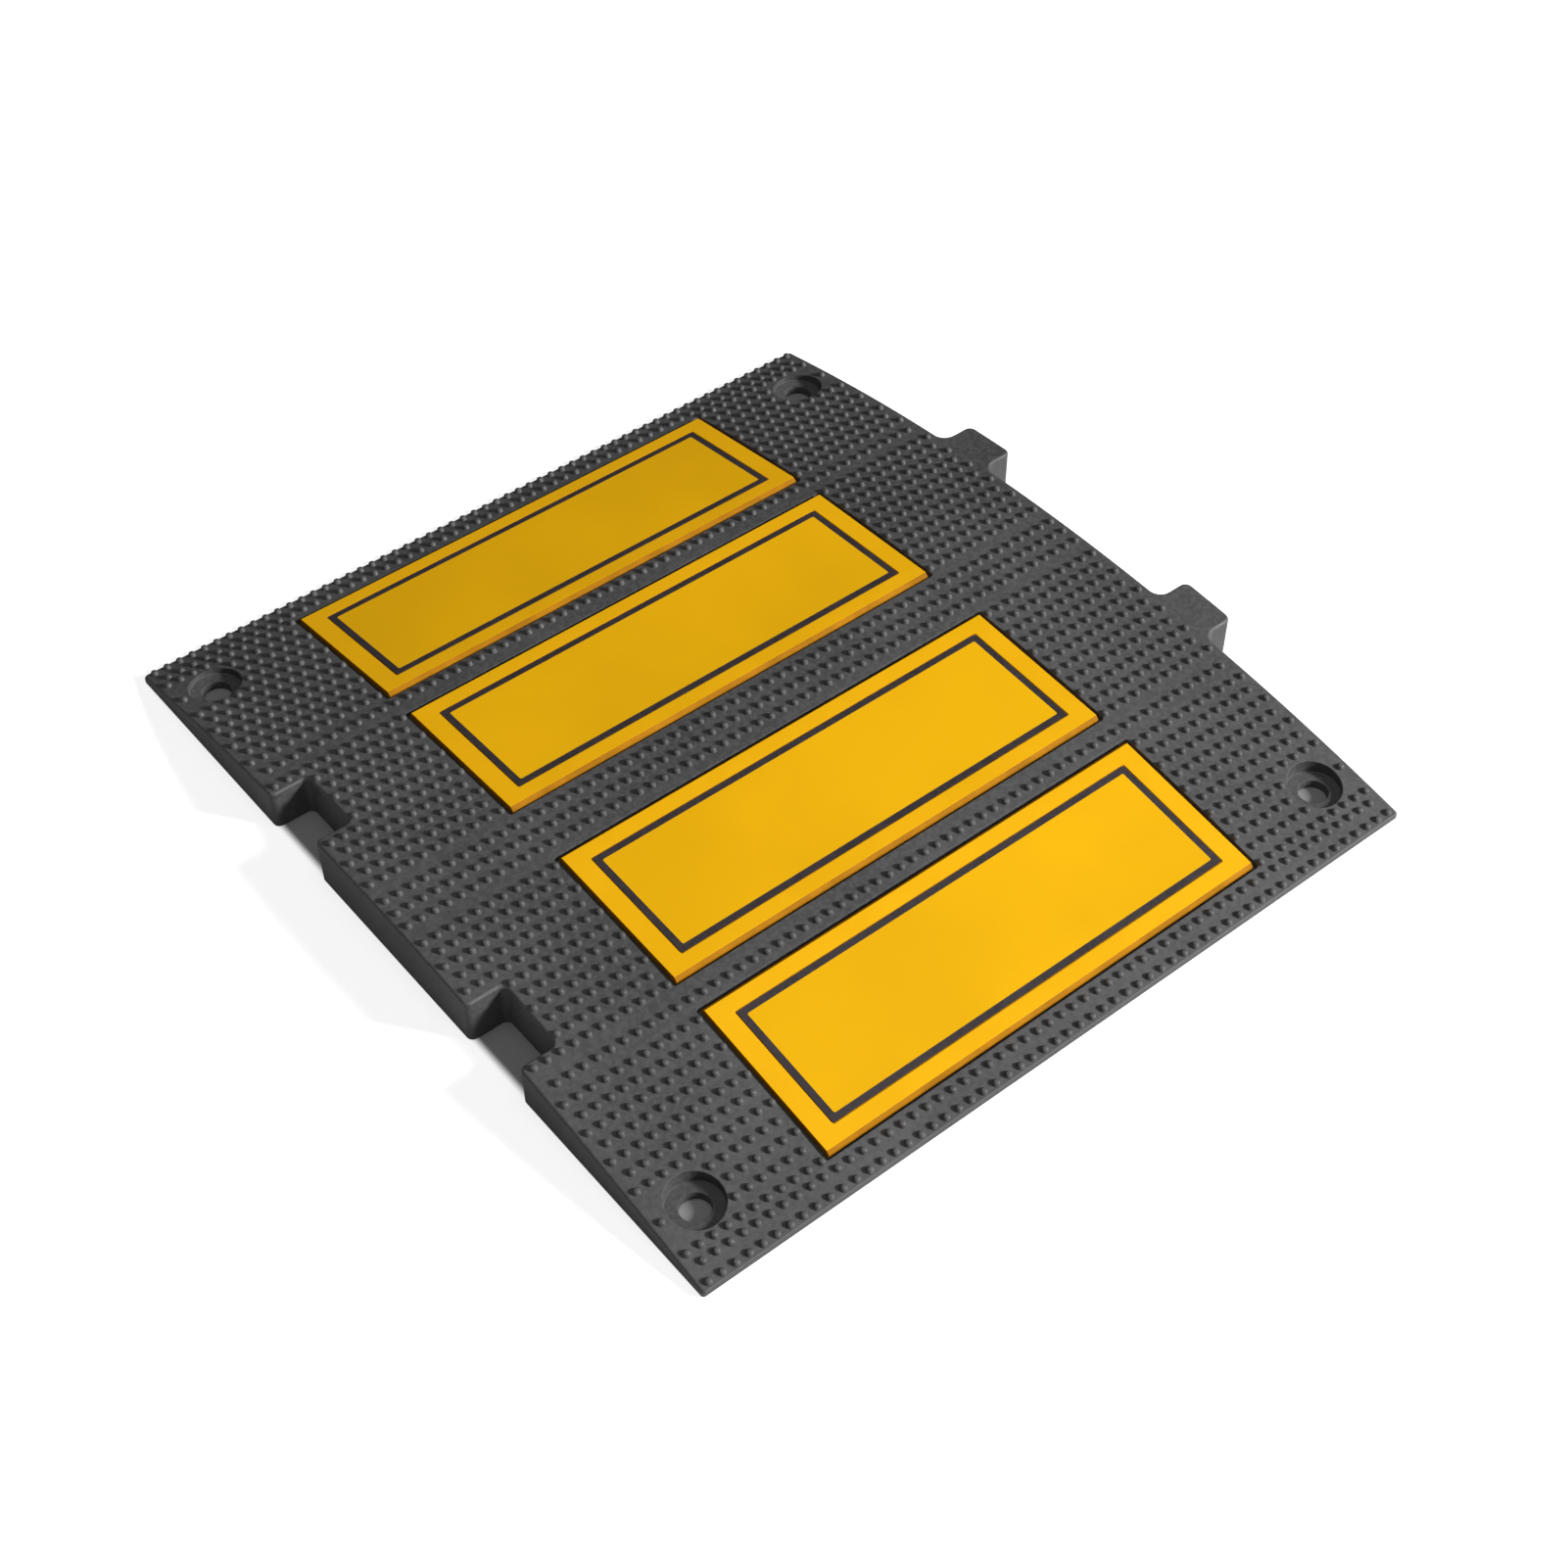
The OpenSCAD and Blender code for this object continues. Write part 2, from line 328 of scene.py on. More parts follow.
def extrude(x=0.0, z=0.0):
    """Extrudes the selection sideways or upwards."""
    bpy.ops.mesh.extrude_region_move(TRANSFORM_OT_translate={"value": (x, 0, z)})


def cut_along(point, normal):
    """Cuts new edges through the whole mesh along a plane."""
    bpy.ops.mesh.select_all(action="SELECT")
    bpy.ops.mesh.bisect(plane_co=point, plane_no=normal)


def new_object(name):
    """Names the object that an operator has just added."""
    obj = bpy.context.object
    obj.name = name
    obj.data.name = name
    return obj


def block(name, size, place=(0, 0, 0), corner_radius=0.0, segments=5):
    """Adds a box with rounded upright edges."""
    bpy.ops.object.select_all(action="DESELECT")
    bpy.ops.mesh.primitive_cube_add(size=1, location=place, scale=size)
    obj = new_object(name)
    settle(obj)
    if corner_radius:
        edit(obj)
        pick("EDGE", upright)
        bpy.ops.mesh.bevel(offset=corner_radius, segments=segments, affect="EDGES")
        close_edit()
    return obj


def settle(obj):
    """Puts an object's place, turn and scale into its mesh."""
    activate(obj)
    bpy.ops.object.transform_apply(location=True, rotation=True, scale=True)


def seat_on_arch(obj, module, y):
    """Moves a piece from the origin onto the arch at distance y, with its Z square to the surface."""
    obj.location = (0, y, arch_height(module, y))
    obj.rotation_euler = (-math.asin(y / arch_radius(module)), 0, 0)
    settle(obj)


def copy_of(obj, name):
    """Copies an object with a mesh of its own."""
    twin = obj.copy()
    twin.data = obj.data.copy()
    twin.name = name
    twin.data.name = name
    bpy.context.collection.objects.link(twin)
    return twin


def join(objects):
    """Joins objects into the first one."""
    activate(objects[0])
    for obj in objects:
        obj.select_set(True)
    bpy.ops.object.join()
    return objects[0]


def apply_modifier(obj, kind, **settings):
    """Adds a modifier, gives it its settings and applies it."""
    modifier = obj.modifiers.new(kind.title(), kind)
    for key, value in settings.items():
        setattr(modifier, key, value)
    activate(obj)
    bpy.ops.object.modifier_apply(modifier=modifier.name)


def repeat_across(obj, count, pitch):
    """Repeats an object across the road."""
    apply_modifier(
        obj,
        "ARRAY",
        count=count,
        use_relative_offset=False,
        use_constant_offset=True,
        constant_offset_displace=(pitch, 0, 0),
    )


def combine(obj, other, operation):
    """Cuts or intersects an object with another, which is used up."""
    apply_modifier(obj, "BOOLEAN", object=other, operation=operation, solver="EXACT")
    bpy.data.objects.remove(other)


def face_outwards(obj):
    """Merges doubles and points every face outwards."""
    edit(obj)
    pick("FACE")
    bpy.ops.mesh.remove_doubles(threshold=TOUCH)
    bpy.ops.mesh.normals_make_consistent(inside=False)
    close_edit()


def soften(obj, radius):
    """Rounds the sharp edges and shades the rest smooth."""
    apply_modifier(
        obj,
        "BEVEL",
        width=radius,
        segments=2,
        limit_method="ANGLE",
        angle_limit=SHARP_ANGLE,
        use_clamp_overlap=False,
    )
    activate(obj)
    bpy.ops.object.shade_smooth_by_angle(angle=SHARP_ANGLE)
    apply_modifier(obj, "WEIGHTED_NORMAL", keep_sharp=True)


def finish_piece(obj, slot, materials, *nodes):
    """Gives a piece its materials and its body and hides the nodes that it stands for; its slot is not used.
    """
    obj.data.materials.clear()
    for material in materials:
        obj.data.materials.append(material)
    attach(obj, "root")
    if nodes:
        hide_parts(*nodes)


# Shapes of the module

def module_outline(module, tongue):
    """Flat outline of the module, with its tongues and pockets."""
    half_width = module.width / 2
    half_length = module.length / 2
    half_pitch = tongue.pitch / 2
    pocket_back = -half_width + tongue.pocket_depth
    bpy.ops.object.select_all(action="DESELECT")
    bpy.ops.mesh.primitive_plane_add(size=1)
    obj = new_object("rubber_body_moulding")
    obj.scale = (module.width, module.length, 1)
    settle(obj)
    edit(obj)
    for side in (-1, 1):
        for half in (tongue.width / 2, tongue.pocket_width / 2):
            for edge in (-1, 1):
                cut_along((0, side * half_pitch + edge * half, 0), (0, 1, 0))
    cut_along((pocket_back, 0, 0), (1, 0, 0))

    def in_band(y, width):
        return abs(abs(y) - half_pitch) < width / 2 + TOUCH

    def at_tongue(vertex):
        return vertex.co.x > half_width - TOUCH and in_band(vertex.co.y, tongue.width)

    def in_pocket(face):
        place = middle(face)
        return place.x < pocket_back and in_band(place.y, tongue.pocket_width - 2 * TOUCH)

    pick("EDGE", lambda e: all(at_tongue(v) for v in e.verts))
    extrude(x=tongue.reach)
    pick("FACE", in_pocket)
    bpy.ops.mesh.delete(type="FACE")
    pick("FACE")
    bpy.ops.mesh.dissolve_limited(angle_limit=math.radians(1))

    def round_corners(radius, x, offset, width):
        places = [Vector((x, side * offset + edge * width / 2)) for side in (-1, 1) for edge in (-1, 1)]
        pick("VERT", lambda v: any((v.co.xy - place).length < TOUCH for place in places))
        bpy.ops.mesh.bevel(offset=radius, segments=CORNER_STEPS, affect="VERTICES")

    round_corners(module.corner_radius, half_width, half_length / 2, half_length)
    round_corners(module.corner_radius, -half_width, half_length / 2, half_length)
    round_corners(tongue.root_radius, half_width, half_pitch, tongue.width)
    round_corners(tongue.tip_radius, half_width + tongue.reach, half_pitch, tongue.width)
    round_corners(tongue.pocket_radius, pocket_back, half_pitch, tongue.pocket_width)
    round_corners(tongue.pocket_radius, -half_width, half_pitch, tongue.pocket_width)
    close_edit()
    return obj


def arched_slab(module, tongue):
    """Slab under the arch, spun about the arch's own axis and wider than the module."""
    radius = arch_radius(module)
    centre_z = module.crown - radius
    depth = module.crown + OVERSHOOT
    half_angle = math.asin((module.length / 2 + OVERSHOOT) / radius)
    middle_radius = radius - depth / 2
    bpy.ops.object.select_all(action="DESELECT")
    bpy.ops.mesh.primitive_plane_add(
        size=1,
        location=(0, middle_radius * math.sin(half_angle), centre_z + middle_radius * math.cos(half_angle)),
        rotation=(math.pi / 2 - half_angle, 0, 0),
    )
    slab = new_object("arched_slab")
    slab.scale = (module.width + 2 * tongue.reach + 2 * OVERSHOOT, depth, 1)
    settle(slab)
    edit(slab)
    pick("FACE")
    bpy.ops.mesh.spin(
        steps=module.arch_strips, angle=-2 * half_angle, center=(0, 0, centre_z), axis=(1, 0, 0)
    )
    close_edit()
    face_outwards(slab)
    return slab


def round_rim(obj, module, tongue, hole):
    """Rounds the top of the side faces, tongues and pockets, and ever less round a corner to the nose."""
    side_x = module.width / 2 - tongue.pocket_depth - TOUCH
    nose_y = module.length / 2 - module.nose_radius
    nose_share = module.nose_radius / module.rim_radius

    def is_rim(edge):
        place = middle(edge)
        on_outline = abs(place.x) > side_x or abs(place.y) > nose_y
        from_hole_x = abs(abs(place.x) - hole.spacing_x / 2)
        from_hole_y = abs(abs(place.y) - hole.spacing_y / 2)
        at_hole = max(from_hole_x, from_hole_y) < hole.counterbore_radius + TOUCH
        if at_hole or not on_outline:
            return False
        slopes = sorted(abs(face.normal.z) for face in edge.link_faces)
        return slopes[0] < SIDE_FACE and slopes[1] > TOP_FACE and place.z > module.nose / 2

    def corner_step(edge):
        """0 along a side face, CORNER_STEPS along the nose and the steps between on a corner."""
        place = middle(edge)
        past_x = max(abs(place.x) - module.width / 2 + module.corner_radius, 0)
        past_y = max(abs(place.y) - module.length / 2 + module.corner_radius, 0)
        return round(math.atan2(past_y, past_x) / (math.pi / 2) * CORNER_STEPS)

    edit(obj)
    for step in range(CORNER_STEPS + 1):
        pick("EDGE", lambda e: is_rim(e) and corner_step(e) == step)
        share = 1 - (1 - nose_share) * step / CORNER_STEPS
        bpy.ops.transform.edge_bevelweight(value=share)
    close_edit()
    apply_modifier(
        obj, "BEVEL", width=module.rim_radius, segments=5, limit_method="WEIGHT", use_clamp_overlap=False
    )


def recess_cutters(module, tile):
    """Blocks that cut the four tile recesses."""
    size = (tile.width + 2 * tile.end_gap, tile.length + 2 * tile.side_gap, 2 * tile.recess_depth)
    cutters = []
    for row in ROWS:
        cutter = block("recess_cutter", size, corner_radius=tile.recess_radius)
        seat_on_arch(cutter, module, row_place(row))
        cutters.append(cutter)
    return join(cutters)


def bolt_hole_cutters(module, hole):
    """Stepped plugs that cut the four bolt holes and their counterbores."""
    bpy.ops.object.select_all(action="DESELECT")
    bpy.ops.mesh.primitive_circle_add(
        vertices=hole.sides, radius=hole.radius, fill_type="NGON", location=(0, 0, -OVERSHOOT)
    )
    plug = new_object("bolt_hole_cutter")
    settle(plug)
    edit(plug)
    pick("FACE")
    extrude(z=OVERSHOOT + hole.seat)
    extrude()
    factor = hole.counterbore_radius / hole.radius
    bpy.ops.transform.resize(value=(factor, factor, 1), center_override=(0, 0, 0))
    extrude(z=module.crown)
    close_edit()
    face_outwards(plug)
    plugs = []
    for side in (-1, 1):
        for end in (-1, 1):
            twin = copy_of(plug, "bolt_hole_cutter_copy")
            twin.location = (side * hole.spacing_x / 2, end * hole.spacing_y / 2, 0)
            settle(twin)
            plugs.append(twin)
    bpy.data.objects.remove(plug)
    return join(plugs)


def cell_cutters(module, cell):
    """Blocks that cut the cells of the underside, one arrayed block for each row."""
    rows = []
    for row in range(-cell.rows, cell.rows + 1):
        y = row * cell.pitch_y
        roof = arch_height(module, abs(y) + cell.length / 2) - cell.cover
        first_x = -(cell.columns - 1) / 2 * cell.pitch_x
        size = (cell.width, cell.length, roof + OVERSHOOT)
        place = (first_x, y, (roof - OVERSHOOT) / 2)
        cutter = block("cell_cutter", size, place, cell.corner_radius, segments=3)
        repeat_across(cutter, cell.columns, cell.pitch_x)
        rows.append(cutter)
    return join(rows)


# Studs

def stud_rows(stud):
    """Distance from the crown, number of studs and whether a tile interrupts it, for each row of one half."""
    long_row = stud.row_length
    short_row = stud.row_length - 1
    rows = [
        (0.0, long_row, False),
        (stud.crown_row, long_row, False),
        (stud.middle_row, short_row, False),
    ]
    for first in (stud.inner_row, stud.outer_row):
        for step in range(stud.rows_beside_tile):
            count = short_row if step % 2 else long_row
            rows.append((first + step * stud.row_pitch, count, True))
    rows.append((stud.end_row, short_row, False))
    rows.append((stud.end_row + stud.row_pitch, long_row, False))
    return rows


def stud_is_left_out(x, y, beside_tile, settings):
    """Whether a tile, a bolt hole or a pocket takes a stud's place."""
    stud, hole, tongue, module = settings.stud, settings.hole, settings.tongue, settings.module
    if beside_tile and abs(x) < stud.tile_clearance:
        return True
    from_hole = Vector((abs(x) - hole.spacing_x / 2, abs(y) - hole.spacing_y / 2))
    if from_hole.length < stud.hole_clearance:
        return True
    in_pocket_depth = x < -module.width / 2 + tongue.pocket_depth + stud.base_radius
    in_pocket_width = abs(abs(y) - tongue.pitch / 2) < tongue.pocket_width / 2 + stud.base_radius
    return in_pocket_depth and in_pocket_width


def one_stud(stud):
    """Low tapered stud with a rounded top, sunk a little into the rubber."""
    sink = stud.height / 4
    bpy.ops.object.select_all(action="DESELECT")
    bpy.ops.mesh.primitive_cone_add(
        vertices=stud.sides,
        radius1=stud.base_radius,
        radius2=stud.top_radius,
        depth=stud.height + sink,
        location=(0, 0, (stud.height - sink) / 2),
    )
    obj = new_object("stud")
    settle(obj)
    edit(obj)
    pick("EDGE", lambda e: all(v.co.z > stud.height - TOUCH for v in e.verts))
    bpy.ops.mesh.bevel(offset=stud.top_bevel, segments=2, affect="EDGES")
    close_edit()
    return obj


def stud_row(model, y, count, beside_tile, settings):
    """One row of studs on the arch, with the studs missing that something else takes the place of."""
    stud = settings.stud
    first_x = -(count - 1) / 2 * stud.pitch
    row = copy_of(model, "stud_row")
    row.location.x = first_x
    settle(row)
    repeat_across(row, count, stud.pitch)

    def left_out(vertex):
        x = first_x + round((vertex.co.x - first_x) / stud.pitch) * stud.pitch
        return stud_is_left_out(x, y, beside_tile, settings)

    edit(row)
    pick("VERT", left_out)
    bpy.ops.mesh.delete(type="VERT")
    close_edit()
    seat_on_arch(row, settings.module, y)
    return row


# Tiles

def one_tile(tile):
    """Unturned tile at the origin, with bevelled long edges and a shallow seat for border and sheet."""
    top = tile.proud
    obj = block("tile_model", (tile.width, tile.length, tile.thickness), (0, 0, top - tile.thickness / 2))
    edit(obj)
    pick("EDGE", lambda e: abs(middle(e).x) < TOUCH and middle(e).z > top - TOUCH)
    bpy.ops.mesh.bevel(offset=tile.bevel, segments=1, affect="EDGES")
    close_edit()
    seat_size = (tile.seat_width, tile.seat_length, 2 * tile.seat_depth)
    combine(obj, block("seat_cutter", seat_size, (0, 0, top), tile.seat_radius), "DIFFERENCE")
    soften(obj, tile.soft_edge)
    return obj


def face_or_edge(polygon):
    """Material index of a polygon of the unturned tile: 0 on its face, 1 on its bevels and sides, which take
    the colour with painted shade.
    """
    return 0 if polygon.normal.z > TOP_FACE and polygon.center.z > TOUCH else 1


# Materials

def feed(tree, value, socket):
    """Links a socket to another socket, or gives it a plain value."""
    if isinstance(value, bpy.types.NodeSocket):
        tree.links.new(value, socket)
    else:
        socket.default_value = value


def node_group(name, inputs, outputs):
    """New shader node group with the named inputs and outputs, each with its type of socket."""
    group = bpy.data.node_groups.new(name, "ShaderNodeTree")
    for side, sockets in (("INPUT", inputs), ("OUTPUT", outputs)):
        for socket_name, kind in sockets.items():
            group.interface.new_socket(name=socket_name, in_out=side, socket_type=kind)
    entry = group.nodes.new("NodeGroupInput")
    leave = group.nodes.new("NodeGroupOutput")
    return group, entry, leave


def add_node(tree, kind, **settings):
    """Adds a node and gives it its settings."""
    node = tree.nodes.new(kind)
    for key, value in settings.items():
        setattr(node, key, value)
    return node


def noise(tree, vector, scale, detail, roughness=0.5):
    """Adds a noise texture and returns its value."""
    node = add_node(tree, "ShaderNodeTexNoise")
    node.inputs["Detail"].default_value = detail
    node.inputs["Roughness"].default_value = roughness
    tree.links.new(vector, node.inputs["Vector"])
    tree.links.new(scale, node.inputs["Scale"])
    return node.outputs[0]


def spread(tree, value, low, high):
    """Maps a value smoothly to 0 at the low limit and 1 at the high one."""
    node = add_node(tree, "ShaderNodeMapRange", interpolation_type="SMOOTHSTEP")
    tree.links.new(value, node.inputs["Value"])
    node.inputs["From Min"].default_value = low
    node.inputs["From Max"].default_value = high
    return node.outputs["Result"]


def calculate(tree, operation, first, second=0.0):
    """Works out one value from others, each a socket or a number."""
    node = add_node(tree, "ShaderNodeMath", operation=operation)
    feed(tree, first, node.inputs[0])
    feed(tree, second, node.inputs[1])
    return node.outputs[0]


def mix_colours(tree, factor, first, second):
    """Mixes two colours, each a socket or a plain colour."""
    node = add_node(tree, "ShaderNodeMix", data_type="RGBA")
    tree.links.new(factor, node.inputs["Factor"])
    for index, value in ((MIX_FIRST, first), (MIX_SECOND, second)):
        is_socket = isinstance(value, bpy.types.NodeSocket)
        feed(tree, value if is_socket else (*value, 1), node.inputs[index])
    return node.outputs[MIX_RESULT]


def mottle_group():
    """Uneven colour of a moulded surface: broad clouds with finer flecks in them."""
    group, entry, leave = node_group(
        "Mottle",
        {"Place": "NodeSocketVector", "Cloud Scale": "NodeSocketFloat", "Fleck Scale": "NodeSocketFloat"},
        {"Clouds": "NodeSocketFloat", "Flecks": "NodeSocketFloat"},
    )
    clouds = noise(group, entry.outputs["Place"], entry.outputs["Cloud Scale"], detail=3)
    flecks = noise(group, entry.outputs["Place"], entry.outputs["Fleck Scale"], detail=2, roughness=0.6)
    group.links.new(spread(group, clouds, 0.32, 0.68), leave.inputs["Clouds"])
    group.links.new(spread(group, flecks, 0.38, 0.66), leave.inputs["Flecks"])
    return group


def grain_group():
    """Height of a moulded grain: fine pebbling with a few small pits."""
    group, entry, leave = node_group(
        "Moulded grain",
        {"Place": "NodeSocketVector", "Grain Scale": "NodeSocketFloat", "Pit Scale": "NodeSocketFloat"},
        {"Height": "NodeSocketFloat"},
    )
    pebbles = noise(group, entry.outputs["Place"], entry.outputs["Grain Scale"], detail=2)
    pits = noise(group, entry.outputs["Place"], entry.outputs["Pit Scale"], detail=1)
    coarse = calculate(group, "MULTIPLY", pebbles, 0.7)
    fine = calculate(group, "MULTIPLY", spread(group, pits, 0.3, 0.42), 0.3)
    group.links.new(calculate(group, "ADD", coarse, fine), leave.inputs["Height"])
    return group


def dust_group():
    """Where dust settles: on faces that look up, in soft clouds."""
    group, entry, leave = node_group(
        "Settled dust",
        {"Place": "NodeSocketVector", "Cloud Scale": "NodeSocketFloat", "Amount": "NodeSocketFloat"},
        {"Mask": "NodeSocketFloat"},
    )
    geometry = add_node(group, "ShaderNodeNewGeometry")
    split = add_node(group, "ShaderNodeSeparateXYZ")
    group.links.new(geometry.outputs["Normal"], split.inputs[0])
    facing_up = spread(group, split.outputs["Z"], 0.35, 1)
    clouds = noise(group, entry.outputs["Place"], entry.outputs["Cloud Scale"], detail=4, roughness=0.6)
    settled = calculate(group, "MULTIPLY", facing_up, spread(group, clouds, 0.25, 0.8))
    mask = calculate(group, "MULTIPLY", settled, entry.outputs["Amount"])
    group.links.new(mask, leave.inputs["Mask"])
    return group


def shared_group(name, build):
    """The node group of that name, built the first time it is needed."""
    return bpy.data.node_groups.get(name) or build()


class Finish:
    """A material under construction: its tree, its shader and its object coordinates."""

    def __init__(self, name, roughness, specular):
        self.material = bpy.data.materials.new(name)
        self.material.use_nodes = True
        self.tree = self.material.node_tree
        self.shader = self.tree.nodes["Principled BSDF"]
        self.shader.inputs["Roughness"].default_value = roughness
        self.shader.inputs["Specular IOR Level"].default_value = specular
        self.place = add_node(self.tree, "ShaderNodeTexCoord").outputs["Object"]

    def group(self, name, build, **values):
        """Places a shared node group and gives it this material's own values."""
        node = add_node(self.tree, "ShaderNodeGroup", node_tree=shared_group(name, build))
        self.tree.links.new(self.place, node.inputs["Place"])
        for key, value in values.items():
            node.inputs[key.replace("_", " ").title()].default_value = value
        return node

    def clouded(self, mottle, rgb, low, high):
        """A colour that clouds vary between two multiples of it."""
        tones = [tuple(channel * factor for channel in rgb) for factor in (low, high)]
        return mix_colours(self.tree, mottle.outputs["Clouds"], *tones)

    def flecked(self, mottle, base, flecks, amount):
        """A colour with some of another in its flecks."""
        share = self.between(mottle.outputs["Flecks"], 0, amount)
        return mix_colours(self.tree, share, base, flecks)

    def between(self, factor, low, high):
        """Maps a mask to the values between two limits."""
        node = add_node(self.tree, "ShaderNodeMapRange")
        self.tree.links.new(factor, node.inputs["Value"])
        node.inputs["To Min"].default_value = low
        node.inputs["To Max"].default_value = high
        return node.outputs["Result"]

    def link(self, value, socket_name):
        """Feeds a value to the shader."""
        self.tree.links.new(value, self.shader.inputs[socket_name])

    def bump(self, height, strength, depth):
        """Adds relief from a height."""
        node = add_node(self.tree, "ShaderNodeBump")
        node.inputs["Strength"].default_value = strength
        node.inputs["Distance"].default_value = depth
        self.tree.links.new(height, node.inputs["Height"])
        self.link(node.outputs["Normal"], "Normal")


def rubber_material(colours):
    """Matt black-grey moulded rubber with uneven tone, fine grain and a little dust."""
    if "Moulded rubber" in bpy.data.materials:
        return bpy.data.materials["Moulded rubber"]
    finish = Finish("Moulded rubber", roughness=0.66, specular=0.85)
    mottle = finish.group("Mottle", mottle_group, cloud_scale=9, fleck_scale=320)
    dust = finish.group("Settled dust", dust_group, cloud_scale=16, amount=0.22)
    clouded = finish.clouded(mottle, colours.rubber, low=0.86, high=1.12)
    flecked = finish.flecked(mottle, clouded, colours.rubber_dust, amount=0.22)
    finish.link(mix_colours(finish.tree, dust.outputs["Mask"], flecked, colours.rubber_dust), "Base Color")
    finish.link(finish.between(mottle.outputs["Flecks"], 0.6, 0.74), "Roughness")
    grain = finish.group("Moulded grain", grain_group, grain_scale=850, pit_scale=240)
    finish.bump(grain.outputs["Height"], strength=0.35, depth=0.25 * MM)
    return finish.material


def tile_material(colours):
    """Yellow matt plastic of a tile's face."""
    finish = Finish("Yellow tile plastic", roughness=0.62, specular=0.14)
    mottle = finish.group("Mottle", mottle_group, cloud_scale=26, fleck_scale=300)
    clouded = finish.clouded(mottle, colours.tile, low=0.95, high=1)
    finish.link(finish.flecked(mottle, clouded, colours.sheet, amount=0.14), "Base Color")
    finish.link(finish.between(mottle.outputs["Clouds"], 0.56, 0.68), "Roughness")
    grain = finish.group("Moulded grain", grain_group, grain_scale=1100, pit_scale=420)
    finish.bump(grain.outputs["Height"], strength=0.16, depth=0.12 * MM)
    return finish.material


def painted_shade_tile_edge_material(colours):
    """Deeper yellow plastic of a tile's bevels and sides, darkened as painted shade."""
    finish = Finish("Tile edge with painted shade", roughness=0.7, specular=0.08)
    mottle = finish.group("Mottle", mottle_group, cloud_scale=40, fleck_scale=300)
    # The deeper base colour paints shade onto the bevels and sides.
    finish.link(finish.clouded(mottle, colours.painted_shade_tile_edge, low=0.82, high=1.12), "Base Color")
    finish.link(finish.between(mottle.outputs["Flecks"], 0.62, 0.78), "Roughness")
    grain = finish.group("Moulded grain", grain_group, grain_scale=1100, pit_scale=420)
    finish.bump(grain.outputs["Height"], strength=0.2, depth=0.12 * MM)
    return finish.material


def sheet_material(colours):
    """Reflective sheet: yellow film over fine glass beads."""
    finish = Finish("Reflective yellow sheet", roughness=0.62, specular=0.1)
    mottle = finish.group("Mottle", mottle_group, cloud_scale=7, fleck_scale=520)
    clouded = finish.clouded(mottle, colours.sheet, low=0.93, high=1.04)
    finish.link(finish.flecked(mottle, clouded, colours.tile, amount=0.1), "Base Color")
    beads = add_node(finish.tree, "ShaderNodeTexVoronoi", feature="F1")
    beads.inputs["Scale"].default_value = 1400
    finish.tree.links.new(finish.place, beads.inputs["Vector"])
    finish.link(finish.between(beads.outputs["Distance"], 0.54, 0.7), "Roughness")
    finish.bump(beads.outputs["Distance"], strength=0.12, depth=0.08 * MM)
    return finish.material


def border_material(colours):
    """Dark matt border line."""
    finish = Finish("Dark border", roughness=0.6, specular=0.7)
    mottle = finish.group("Mottle", mottle_group, cloud_scale=60, fleck_scale=500)
    finish.link(finish.clouded(mottle, colours.border, low=0.85, high=1.2), "Base Color")
    finish.link(finish.between(mottle.outputs["Flecks"], 0.52, 0.7), "Roughness")
    grain = finish.group("Moulded grain", grain_group, grain_scale=1500, pit_scale=600)
    finish.bump(grain.outputs["Height"], strength=0.15, depth=0.08 * MM)
    return finish.material


def adhesive_material(colours):
    """Black rubbery adhesive."""
    finish = Finish("Black adhesive", roughness=0.5, specular=0.4)
    mottle = finish.group("Mottle", mottle_group, cloud_scale=50, fleck_scale=260)
    finish.link(finish.clouded(mottle, colours.adhesive, low=0.8, high=1.6), "Base Color")
    finish.link(finish.between(mottle.outputs["Flecks"], 0.4, 0.6), "Roughness")
    grain = finish.group("Moulded grain", grain_group, grain_scale=600, pit_scale=180)
    finish.bump(grain.outputs["Height"], strength=0.4, depth=0.2 * MM)
    return finish.material


def floor_material(colours, module, stage):
    """Pale floor with grey painted shade under the module, lifted to white round it where the camera sees it.
    """
    material = bpy.data.materials.new("Pale floor")
    material.use_nodes = True
    tree = material.node_tree
    shader = tree.nodes["Principled BSDF"]
    shader.inputs["Roughness"].default_value = 0.9
    shader.inputs["Specular IOR Level"].default_value = 0
    shader.inputs["Emission Color"].default_value = (1, 1, 1, 1)
    path = add_node(tree, "ShaderNodeLightPath")
    place = add_node(tree, "ShaderNodeTexCoord").outputs["Object"]
    split = add_node(tree, "ShaderNodeSeparateXYZ")
    tree.links.new(place, split.inputs[0])

    def beyond(axis, size):
        """0 under the module and 1 past its edges on one axis."""
        from_middle = calculate(tree, "ABSOLUTE", split.outputs[axis])
        return spread(tree, from_middle, size / 2 - stage.floor_blend, size / 2)

    # Painted shade: under the module the floor takes the grey shade colour and no glow.
    outside = calculate(tree, "MAXIMUM", beyond("X", module.width), beyond("Y", module.length))
    floor_with_painted_shade = mix_colours(tree, outside, colours.floor_painted_shade, colours.floor)
    tree.links.new(floor_with_painted_shade, shader.inputs["Base Color"])
    seen = calculate(tree, "MULTIPLY", path.outputs["Is Camera Ray"], stage.floor_lift)
    tree.links.new(calculate(tree, "MULTIPLY", outside, seen), shader.inputs["Emission Strength"])
    return material


